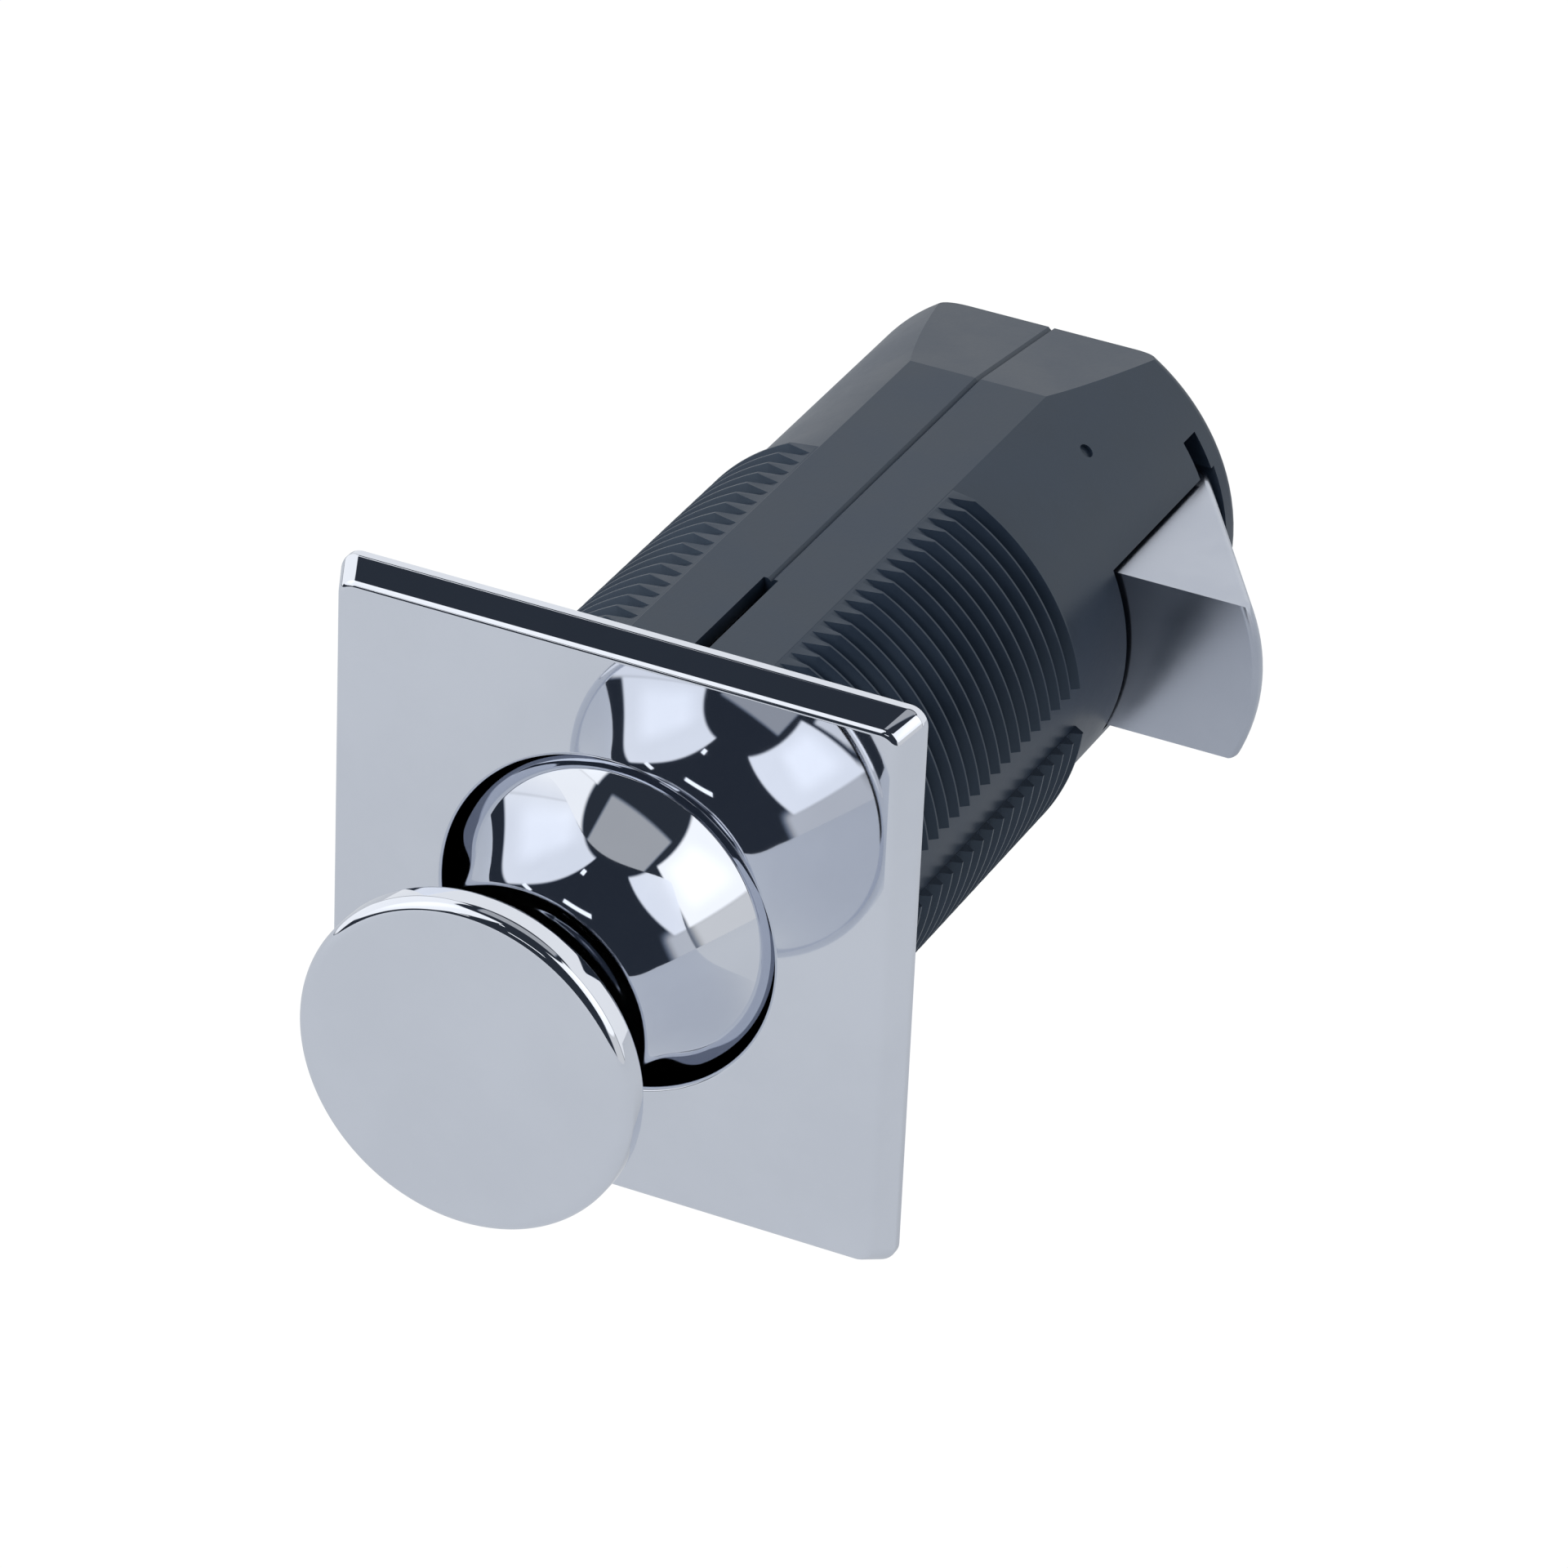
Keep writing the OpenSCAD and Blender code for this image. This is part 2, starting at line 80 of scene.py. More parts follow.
TURN = 2 * math.pi
SMOOTH_ANGLE = math.radians(32)

Point = tuple[float, float]
Triple = tuple[float, float, float]
Piece = bpy.types.Object
Socket = bpy.types.NodeSocket


class Body(Enum):
    """The rigid bodies that the pieces ride on."""

    BASE = "base"
    CARRIAGE = "carriage"
    KNOB = "knob"
    BOLT = "bolt"


class Slot(Enum):
    """The record's material slots."""

    CHROME = "chrome"
    PLASTIC = "black_plastic"
    ZINC = "zinc"
    ACETAL = "acetal"
    STEEL = "steel"
    WIRE = "spring_steel"


class Axis(Enum):
    """The axes of the frame."""

    X = "X"
    Y = "Y"
    Z = "Z"


class Element(Enum):
    """What is selected in edit mode."""

    VERTICES = "VERT"
    EDGES = "EDGE"


class Solid(Enum):
    """What one solid does to another."""

    JOIN = "UNION"
    CUT = "DIFFERENCE"


# Modelling helpers


def clear_selection() -> None:
    """Leaves edit mode and deselects every object."""
    if bpy.context.object and bpy.context.object.mode != "OBJECT":
        bpy.ops.object.mode_set(mode="OBJECT")
    bpy.ops.object.select_all(action="DESELECT")


def take(piece: Piece) -> None:
    """Makes a piece the only selected object, and the active one.

    Args:
        piece: The piece to select.
    """
    clear_selection()
    piece.select_set(True)
    bpy.context.view_layer.objects.active = piece


@contextmanager
def editing(piece: Piece, kind: Element = Element.EDGES) -> Iterator[None]:
    """Opens a piece in edit mode with nothing selected, and closes it again.

    Args:
        piece: The piece to edit.
        kind: What is selected in it.

    Yields:
        Nothing, while the piece is open.
    """
    take(piece)
    bpy.ops.object.mode_set(mode="EDIT")
    bpy.ops.mesh.select_mode(type=kind.value)
    bpy.ops.mesh.select_all(action="DESELECT")
    yield
    bpy.ops.object.mode_set(mode="OBJECT")


def pick_vertices(piece: Piece, test: Callable[[Vector], bool]) -> None:
    """Selects the vertices in edit mode whose place passes a test.

    Args:
        piece: The piece in edit mode.
        test: Takes a vertex's place.
    """
    mesh = bmesh.from_edit_mesh(piece.data)
    for vertex in mesh.verts:
        vertex.select_set(test(vertex.co))
    mesh.select_flush(False)
    bmesh.update_edit_mesh(piece.data)


def pick_edges(piece: Piece, test: Callable[[Vector, Vector, float], bool]) -> None:
    """Selects the edges in edit mode that pass a test.

    Args:
        piece: The piece in edit mode.
        test: Takes an edge's two ends and the angle between its faces, which is 0 where it hasn't two.
    """
    mesh = bmesh.from_edit_mesh(piece.data)
    mesh.normal_update()
    for edge in mesh.edges:
        edge.select_set(test(edge.verts[0].co, edge.verts[1].co, edge.calc_face_angle(0.0)))
    bmesh.update_edit_mesh(piece.data)


def cut_through(place: Triple, normal: Triple, drop: bool = False) -> None:
    """Cuts all of the piece in edit mode along a plane.

    Args:
        place: A point of the plane.
        normal: The plane's normal.
        drop: Deletes what lies beyond the plane and closes the cut.
    """
    bpy.ops.mesh.select_all(action="SELECT")
    bpy.ops.mesh.bisect(
        plane_co=place, plane_no=normal, clear_outer=drop, use_fill=drop, threshold=MERGE / 10
    )


def name_piece(piece: Piece, name: str) -> Piece:
    """Names a piece and its mesh.

    Args:
        piece: The piece.
        name: Its new name.

    Returns:
        The piece.
    """
    piece.name = name
    piece.data.name = name
    return piece


def settle(piece: Piece) -> None:
    """Puts a piece's place, turn and size into its mesh."""
    take(piece)
    bpy.ops.object.transform_apply(location=True, rotation=True, scale=True)


def close_up(piece: Piece) -> None:
    """Merges a piece's doubles and turns its faces outward.

    Args:
        piece: The piece, a closed one.
    """
    with editing(piece):
        bpy.ops.mesh.select_all(action="SELECT")
        bpy.ops.mesh.remove_doubles(threshold=MERGE)
        bpy.ops.mesh.normals_make_consistent(inside=False)


def smooth(piece: Piece, weighted: bool = False) -> None:
    """Shades a piece smooth between faces that meet at a small angle.

    Args:
        piece: The piece to shade.
        weighted: Lets large flat faces keep their own normal at their borders.
    """
    take(piece)
    bpy.ops.object.shade_smooth_by_angle(angle=SMOOTH_ANGLE)
    if weighted:
        bpy.ops.object.modifier_add(type="WEIGHTED_NORMAL")
        modifier = piece.modifiers[-1]
        modifier.keep_sharp = True
        modifier.weight = 100
        bpy.ops.object.modifier_apply(modifier=modifier.name)


def centre_of(piece: Piece) -> Vector:
    """The middle of a piece's vertices where its object now stands."""
    places = [vertex.co for vertex in piece.data.vertices]
    return piece.matrix_world @ (sum(places, Vector()) / len(places))


def combine(piece: Piece, tool: Piece, solid: Solid) -> None:
    """Joins a tool to a piece or cuts it out, and deletes the tool.

    Args:
        piece: The piece that is kept.
        tool: The other solid.
        solid: What the tool does to the piece.
    """
    take(piece)
    bpy.ops.object.modifier_add(type="BOOLEAN")
    modifier = piece.modifiers[-1]
    modifier.operation = solid.value
    modifier.solver = "EXACT"
    modifier.object = tool
    bpy.ops.object.modifier_apply(modifier=modifier.name)
    bpy.data.objects.remove(tool)


def block(low: Vector, high: Vector) -> Piece:
    """A cuboid between two opposite corners, with its place in its mesh.

    Args:
        low: The corner with the lowest coordinates.
        high: The corner with the highest coordinates.

    Returns:
        The cuboid.
    """
    clear_selection()
    bpy.ops.mesh.primitive_cube_add(size=1, location=(low + high) / 2)
    piece = bpy.context.object
    piece.scale = high - low
    settle(piece)
    return piece


def rod(
    axis: Axis, radius: float, low: float, high: float, across: Point = (0, 0), sides: int = 96
) -> Piece:
    """A cylinder along an axis, with its place in its mesh.

    Args:
        axis: The axis.
        radius: Its radius.
        low: Where it starts along the axis.
        high: Where it ends along the axis.
        across: Its middle on the other two axes, in their order.
        sides: How many sides it has.

    Returns:
        The cylinder.
    """
    middle = (low + high) / 2
    place, turn = {
        Axis.X: ((middle, *across), (0, math.pi / 2, 0)),
        Axis.Y: ((across[0], middle, across[1]), (math.pi / 2, 0, 0)),
        Axis.Z: ((*across, middle), (0, 0, 0)),
    }[axis]
    clear_selection()
    bpy.ops.mesh.primitive_cylinder_add(
        vertices=sides, radius=radius, depth=high - low, location=place, rotation=turn
    )
    piece = bpy.context.object
    settle(piece)
    return piece


@dataclass
class Outline:
    """Half section of a turned piece, drawn point by point as radius and place along the barrel."""

    points: list[Point] = field(default_factory=list)

    def to(self, radius: float, place: float) -> "Outline":
        """Adds one point."""
        self.points.append((radius, place))
        return self

    def arc(self, centre: Point, radius: float, start: float, end: float, count: int) -> "Outline":
        """Adds an arc.

        Args:
            centre: Its centre, as radius and place.
            radius: The arc's own radius.
            start: Start angle in degrees, 0 away from the axis and 90 toward +Y.
            end: End angle in degrees.
            count: How many stretches it has.

        Returns:
            This outline.
        """
        for step in range(count + 1):
            angle = math.radians(start + (end - start) * step / count)
            self.to(centre[0] + radius * math.cos(angle), centre[1] + radius * math.sin(angle))
        return self

    def draw(self, name: str, closed: bool = False) -> Piece:
        """Draws the outline as a wire in the plane z = 0, one extrusion after the other.

        Args:
            name: The new piece's name.
            closed: Joins the last point to the first.

        Returns:
            The wire.
        """
        clear_selection()
        bpy.ops.mesh.primitive_plane_add(size=MM)
        wire = name_piece(bpy.context.object, name)
        first = self.points[0]
        with editing(wire, Element.VERTICES):
            bpy.ops.mesh.select_all(action="SELECT")
            bpy.ops.mesh.merge(type="CENTER")
            bpy.ops.transform.translate(value=(first[0], first[1], 0))
            for before, after in zip(self.points, self.points[1:]):
                move = (after[0] - before[0], after[1] - before[1], 0)
                bpy.ops.mesh.extrude_vertices_move(TRANSFORM_OT_translate={"value": move})
            if closed:
                ends = (Vector((*first, 0)), Vector((*self.points[-1], 0)))
                pick_vertices(wire, lambda co: min((co - end).length for end in ends) < MERGE)
                bpy.ops.mesh.edge_face_add()
        return wire

    def turn(self, name: str, steps: int, closed: bool = False) -> Piece:
        """Spins the outline round the barrel's axis to a closed solid.

        Args:
            name: The new piece's name.
            steps: How many steps a full turn has.
            closed: Joins the outline's ends, for a ring that doesn't reach the axis.

        Returns:
            The turned piece.
        """
        piece = self.draw(name, closed)
        with editing(piece):
            bpy.ops.mesh.select_all(action="SELECT")
            bpy.ops.mesh.spin(steps=steps, angle=TURN, center=(0, 0, 0), axis=(0, 1, 0))
        close_up(piece)
        return piece


# Finishes


class Tree:
    """Short ways to place and join nodes in a node tree."""

    def __init__(self, tree: bpy.types.NodeTree) -> None:
        """Keeps the tree to work on."""
        self.tree = tree

    def add(self, kind: str, **settings: object) -> bpy.types.Node:
        """Adds a node.

        Args:
            kind: The node's type name, without ShaderNode.
            settings: Its properties, or values of its inputs where a name starts with a capital.

        Returns:
            The node.
        """
        node = self.tree.nodes.new(kind if kind.startswith("Node") else "ShaderNode" + kind)
        for key, value in settings.items():
            if key[0].isupper():
                node.inputs[key.replace("_", " ")].default_value = value
            else:
                setattr(node, key, value)
        return node

    def join(self, source: Socket, target: Socket) -> None:
        """Links two sockets."""
        self.tree.links.new(source, target)

    def math(self, operation: str, *values: object, clamp: bool = False) -> Socket:
        """Adds a Math node.

        Args:
            operation: Its operation.
            values: Numbers or sockets for its inputs.
            clamp: Keeps the result from 0 to 1.

        Returns:
            Its output.
        """
        node = self.add("Math", operation=operation, use_clamp=clamp)
        for socket, value in zip(node.inputs, values):
            if isinstance(value, (int, float)):
                socket.default_value = value
            else:
                self.join(value, socket)
        return node.outputs[0]

    def ramp(self, value: Socket, low: float, high: float, to_low: float, to_high: float) -> Socket:
        """Maps a value smoothly from one range to another.

        Args:
            value: The value.
            low: Start of its range.
            high: End of its range.
            to_low: Result at the start.
            to_high: Result at the end.

        Returns:
            The mapped value.
        """
        node = self.add("MapRange", interpolation_type="SMOOTHSTEP")
        self.join(value, node.inputs[0])
        for socket, number in zip(node.inputs[1:5], (low, high, to_low, to_high)):
            socket.default_value = number
        return node.outputs[0]

    def band(self, value: Socket, low: float, high: float, soft: float) -> Socket:
        """Makes a mask that is 1 where a value lies in a range, and 0 outside.

        Args:
            value: The value.
            low: Start of the range.
            high: End of the range.
            soft: How far inside the range the mask has its full height.

        Returns:
            The mask.
        """
        start = self.ramp(value, low, low + soft, 0, 1)
        return self.math("MULTIPLY", start, self.ramp(value, high - soft, high, 1, 0))


# Where the clouds of the uneven surface begin and end, and their share beside the grain
CLOUD_LOW = 0.3
CLOUD_HIGH = 0.7
CLOUD_SHARE = 0.7


def surface_group() -> bpy.types.NodeTree:
    """Builds the node group that gives each finish its fine, uneven surface.

    Returns:
        The group, with a roughness and a normal that change over the surface, and a mask for the colour.
    """
    group = bpy.data.node_groups.new("uneven_surface", "ShaderNodeTree")
    inputs = {
        "Roughness": 0.3,
        "Spread": 0.1,
        "Cloud Scale": 60.0,
        "Grain Scale": 4000.0,
        "Grain Height": 0.1,
        "Wave Height": 0.0,
    }
    for name, value in inputs.items():
        socket = group.interface.new_socket(name, in_out="INPUT", socket_type="NodeSocketFloat")
        socket.default_value = value
    socket = group.interface.new_socket("Stretch", in_out="INPUT", socket_type="NodeSocketVector")
    socket.default_value = (1, 1, 1)
    for name, kind in (("Roughness", "Float"), ("Mask", "Float"), ("Normal", "Vector")):
        group.interface.new_socket(name, in_out="OUTPUT", socket_type="NodeSocket" + kind)
    tree = Tree(group)
    given = tree.add("NodeGroupInput").outputs
    result = tree.add("NodeGroupOutput").inputs
    place = tree.add("TexCoord").outputs["Object"]
    scaled = tree.add("VectorMath", operation="MULTIPLY")
    tree.join(place, scaled.inputs[0])
    tree.join(given["Stretch"], scaled.inputs[1])
    clouds = tree.add("TexNoise", Detail=5.0, Roughness=0.6)
    tree.join(place, clouds.inputs["Vector"])
    tree.join(given["Cloud Scale"], clouds.inputs["Scale"])
    grain = tree.add("TexNoise", Detail=3.0, Roughness=0.55)
    tree.join(scaled.outputs[0], grain.inputs["Vector"])
    tree.join(given["Grain Scale"], grain.inputs["Scale"])
    mask = tree.ramp(clouds.outputs[0], CLOUD_LOW, CLOUD_HIGH, 0.0, 1.0)
    both = tree.math(
        "ADD",
        tree.math("MULTIPLY", mask, CLOUD_SHARE),
        tree.math("MULTIPLY", grain.outputs[0], 1 - CLOUD_SHARE),
    )
    spread = tree.math("MULTIPLY", tree.math("SUBTRACT", both, 0.5), given["Spread"])
    tree.join(tree.math("ADD", given["Roughness"], spread, clamp=True), result["Roughness"])
    tree.join(mask, result["Mask"])
    height = tree.math(
        "ADD",
        tree.math("MULTIPLY", grain.outputs[0], given["Grain Height"]),
        tree.math("MULTIPLY", clouds.outputs[0], given["Wave Height"]),
    )
    bump = tree.add("Bump", Strength=1.0, Distance=MM)
    tree.join(height, bump.inputs["Height"])
    tree.join(bump.outputs[0], result["Normal"])
    return group


@dataclass(frozen=True)
class Finish:
    """One finish and the material that shows it."""

    name: str
    dark: Triple
    light: Triple
    metallic: float
    roughness: float
    spread: float
    cloud_scale: float
    grain_scale: float
    grain_height: float
    wave_height: float = 0.0
    stretch: Triple = (1.0, 1.0, 1.0)
    tint: Triple = (1.0, 1.0, 1.0)

    def material(self, group: bpy.types.NodeTree) -> bpy.types.Material:
        """Builds the finish's material.

        Args:
            group: The shared uneven surface.

        Returns:
            The material.
        """
        made = bpy.data.materials.new(self.name)
        made.use_nodes = True
        tree = Tree(made.node_tree)
        shader = made.node_tree.nodes["Principled BSDF"]
        shader.inputs["Metallic"].default_value = self.metallic
        shader.inputs["Specular Tint"].default_value = (*self.tint, 1)
        uneven = tree.add("Group", node_tree=group)
        values = {
            "Roughness": self.roughness,
            "Spread": self.spread,
            "Cloud Scale": self.cloud_scale,
            "Grain Scale": self.grain_scale,
            "Grain Height": self.grain_height,
            "Wave Height": self.wave_height,
            "Stretch": self.stretch,
        }
        for name, value in values.items():
            uneven.inputs[name].default_value = value
        colour = tree.add("Mix", data_type="RGBA")
        colour.inputs["A"].default_value = (*self.dark, 1)
        colour.inputs["B"].default_value = (*self.light, 1)
        tree.join(uneven.outputs["Mask"], colour.inputs["Factor"])
        tree.join(colour.outputs["Result"], shader.inputs["Base Color"])
        tree.join(uneven.outputs["Roughness"], shader.inputs["Roughness"])
        tree.join(uneven.outputs["Normal"], shader.inputs["Normal"])
        return made


FINISHES = {
    Slot.CHROME: Finish(
        "mirror_chrome",
        dark=(0.745, 0.77, 0.83),
        light=(0.775, 0.80, 0.86),
        metallic=1.0,
        roughness=0.03,
        spread=0.02,
        cloud_scale=90,
        grain_scale=700,
        grain_height=0.0,
        wave_height=0.0006,
    ),
    Slot.PLASTIC: Finish(
        "moulded_black_plastic",
        dark=(0.013, 0.021, 0.036),
        light=(0.018, 0.028, 0.047),
        metallic=0.0,
        roughness=0.36,
        spread=0.10,
        cloud_scale=160,
        grain_scale=5000,
        grain_height=0.004,
        wave_height=0.006,
        stretch=(1.0, 0.4, 1.0),
        tint=(0.68, 0.84, 1.0),
    ),
    Slot.ZINC: Finish(
        "plated_zinc",
        dark=(0.47, 0.50, 0.57),
        light=(0.51, 0.54, 0.61),
        metallic=1.0,
        roughness=0.22,
        spread=0.06,
        cloud_scale=200,
        grain_scale=3500,
        grain_height=0.0,
        wave_height=0.001,
    ),
    Slot.ACETAL: Finish(
        "natural_acetal",
        dark=(0.60, 0.60, 0.57),
        light=(0.66, 0.66, 0.63),
        metallic=0.0,
        roughness=0.42,
        spread=0.10,
        cloud_scale=140,
        grain_scale=4000,
        grain_height=0.003,
    ),
    Slot.STEEL: Finish(
        "stamped_steel",
        dark=(0.50, 0.51, 0.53),
        light=(0.57, 0.58, 0.60),
        metallic=1.0,
        roughness=0.30,
        spread=0.15,
        cloud_scale=180,
        grain_scale=3000,
        grain_height=0.003,
        stretch=(1.0, 0.1, 1.0),
    ),
    Slot.WIRE: Finish(
        "spring_wire",
        dark=(0.42, 0.43, 0.45),
        light=(0.50, 0.51, 0.53),
        metallic=1.0,
        roughness=0.26,
        spread=0.12,
        cloud_scale=220,
        grain_scale=3000,
        grain_height=0.002,
    ),
}


@dataclass
class Paint:
    """The built materials, and how pieces get them."""

    frame: dict
    materials: dict[Slot, bpy.types.Material] = field(default_factory=dict)

    def mix(self) -> None:
        """Builds every finish's material."""
        group = surface_group()
        for slot, finish in FINISHES.items():
            self.materials[slot] = finish.material(group)

    def coat(self, piece: Piece, slot: Slot) -> None:
        """Gives a piece the material of a slot, in place of what it has."""
        piece.data.materials.clear()
        piece.data.materials.append(self.materials[slot])

    def dress_node(self, node: str, slot: Slot) -> None:
        """Gives a CAD node the material of a slot."""
        self.coat(self.frame["nodes"][node], slot)

    def fit(self, piece: Piece, body: Body, slot: Slot, *nodes: str) -> None:
        """Coats a new piece, puts it on its body and lets it stand for CAD nodes.

        Args:
            piece: The new piece.
            body: The body that it rides on.
            slot: Its material slot.
            nodes: The CAD nodes that it stands for.
        """
        self.coat(piece, slot)
        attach(piece, body.value)
        if nodes:
            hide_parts(*nodes)
        LOG.info("%s on %s: %d faces", piece.name, body.value, len(piece.data.polygons))


# Sub-assemblies


@dataclass
class Faceplate:
    """Square chrome plate with sloping sides, and the spigot that the half shells grip."""

    side: float = 39 * MM
    front_side: float = 37.3 * MM
    thickness: float = 2.6 * MM
    rim: float = 0.66 * MM
    corner: float = 1.2 * MM
    corner_steps: int = 10
    rounding: float = 0.35 * MM
    rim_rounding: float = 0.14 * MM
    rounding_steps: int = 6
    hole_radius: float = 11.35 * MM
    lip: float = 0.28 * MM
    lip_steps: int = 5
    spigot_radius: float = 12.1 * MM
    spigot_length: float = 7 * MM
    bead_radius: float = 12.6 * MM
    bead_start: float = 5 * MM
    bead_end: float = 6 * MM
    key_half: float = 0.45 * MM
    key_length: float = 5 * MM
    key_bottom: float = 11.9 * MM
    key_top: float = 13.3 * MM
    recess_radius: float = 15.1 * MM
    recess_depth: float = 0.4 * MM
    sides: int = 256

    def slab(self) -> Piece:
        """Makes the plate with its rounded corners and sloping sides, before the hole is cut.

        Returns:
            The plate.
        """
        half = self.side / 2
        front, rim = -self.thickness, -self.rim
        piece = block(Vector((-half, front, -half)), Vector((half, 0, half)))
        with editing(piece):
            pick_edges(piece, lambda a, b, _: abs(a.y - b.y) > MERGE)
            bpy.ops.mesh.bevel(offset=self.corner, segments=self.corner_steps, profile=0.5)
            cut_through((0, rim, 0), (0, 1, 0))
        with editing(piece, Element.VERTICES):
            pick_vertices(piece, lambda co: co.y < front + MERGE)
            share = self.front_side / self.side
            bpy.ops.transform.resize(value=(share, 1, share), center_override=(0, 0, 0))
        for place, radius in ((front, self.rounding), (rim, self.rim_rounding), (0, self.rim_rounding)):
            with editing(piece):
                pick_edges(piece, lambda a, b, _: max(abs(a.y - place), abs(b.y - place)) < MERGE)
                bpy.ops.mesh.bevel(offset=radius, segments=self.rounding_steps, profile=0.5)
        return piece

    def spigot(self) -> Piece:
        """Turns the solid spigot with its bead.

        Returns:
            The spigot.
        """
        outline = Outline().to(0, -self.thickness / 2).to(self.spigot_radius, -self.thickness / 2)
        outline.to(self.spigot_radius, self.bead_start).to(self.bead_radius, self.bead_start)
        outline.to(self.bead_radius, self.bead_end).to(self.spigot_radius, self.bead_end)
        outline.to(self.spigot_radius, self.spigot_length).to(0, self.spigot_length)
        return outline.turn("spigot", self.sides)

    def build(self, paint: Paint) -> None:
        """Builds the plate and fits it in place of its CAD node.

        Args:
            paint: What coats and fits it.
        """
        piece = name_piece(self.slab(), "front_plate")
        recess = rod(Axis.Y, self.recess_radius, -self.recess_depth, self.thickness, sides=self.sides)
        combine(piece, recess, Solid.CUT)
        combine(piece, self.spigot(), Solid.JOIN)
        key = block(
            Vector((-self.key_half, -MM, self.key_bottom)),
            Vector((self.key_half, self.key_length, self.key_top)),
        )
        combine(piece, key, Solid.JOIN)
        hole = rod(Axis.Y, self.hole_radius, -2 * self.thickness, 2 * self.spigot_length, sides=self.sides)
        combine(piece, hole, Solid.CUT)
        close_up(piece)

        def hole_rim(a: Vector, b: Vector, _: float) -> bool:
            """Tells whether an edge lies on the hole's front rim."""
            level = max(a.y, b.y) < -self.thickness + MERGE
            return level and max(math.hypot(a.x, a.z), math.hypot(b.x, b.z)) < self.hole_radius + MERGE

        with editing(piece):
            pick_edges(piece, hole_rim)
            bpy.ops.mesh.bevel(offset=self.lip, segments=self.lip_steps, profile=0.5)
        smooth(piece, weighted=True)
        paint.fit(piece, Body.BASE, Slot.CHROME, "faceplate")


@dataclass
class Knob:
    """Chromed knob: a flat disc, a concave finger groove, and a skirt that slides in the plate."""

    face: float = -21.2 * MM
    disc_radius: float = 11.1 * MM
    disc_thickness: float = 2.2 * MM
    front_round: float = 0.8 * MM
    back_round: float = 0.4 * MM
    neck_radius: float = 7.8 * MM
    skirt_radius: float = 10.6 * MM
    lip_round: float = 2.8 * MM
    lip_end: float = 0.4 * MM
    skirt_start: float = -2.1 * MM
    skirt_end: float = 9.5 * MM
    skirt_bore: float = 9.7 * MM
    socket_start: float = -1.65 * MM
    socket_bore: float = 6.55 * MM
    socket_end: float = -12.4 * MM
    screw_bore: float = 1.5 * MM
    screw_end: float = -17.6 * MM
    face_band: float = 0.05 * MM
    front_steps: int = 12
    back_steps: int = 8
    back_turn: float = 84.0
    groove_steps: int = 72
    groove_stop: float = 0.5
    lip_steps: int = 10
    steps: int = 288

    def outline(self) -> Outline:
        """Draws the knob's half section from the middle of its face round to the screw hole.

        Returns:
            The half section.
        """
        back = self.face + self.disc_thickness
        front_edge = self.disc_radius - self.front_round
        outline = Outline().to(0, self.face).to(front_edge / 2, self.face)
        outline.to(front_edge - self.face_band, self.face)
        front = (front_edge, self.face + self.front_round)
        outline.arc(front, self.front_round, -90, 0, self.front_steps)
        rear = (self.disc_radius - self.back_round, back - self.back_round)
        outline.arc(rear, self.back_round, 0, self.back_turn, self.back_steps)
        half = (self.skirt_start - back) / 2
        middle = (self.skirt_start + back) / 2
        depth = self.skirt_radius - self.neck_radius
        arc = (depth**2 + half**2) / (2 * depth)
        lean = math.degrees(math.asin(half / arc))
        end = 180 + self.groove_stop - lean
        outline.arc((self.neck_radius + arc, middle), arc, 180 + lean, end, self.groove_steps)
        turned = math.radians(lean)
        lip = (
            self.skirt_radius - self.lip_round * math.cos(turned),
            self.skirt_start + self.lip_round * math.sin(turned),
        )
        outline.arc(lip, self.lip_round, -lean, 0, self.lip_steps)
        outline.to(lip[0] + self.lip_round, self.lip_end)
        outline.to(self.skirt_radius, self.lip_end + lip[0] + self.lip_round - self.skirt_radius)
        outline.to(self.skirt_radius, self.skirt_end)
        outline.to(self.skirt_bore, self.skirt_end).to(self.skirt_bore, self.socket_start)
        outline.to(self.socket_bore, self.socket_start).to(self.socket_bore, self.socket_end)
        outline.to(self.screw_bore, self.socket_end).to(self.screw_bore, self.screw_end)
        return outline.to(0, self.screw_end)

    def build(self, paint: Paint) -> None:
        """Builds the knob and fits it in place of its CAD node.

        Args:
            paint: What coats and fits it.
        """
        piece = self.outline().turn("chrome_knob", self.steps)
        smooth(piece, weighted=True)
        paint.fit(piece, Body.KNOB, Slot.CHROME, "knob")


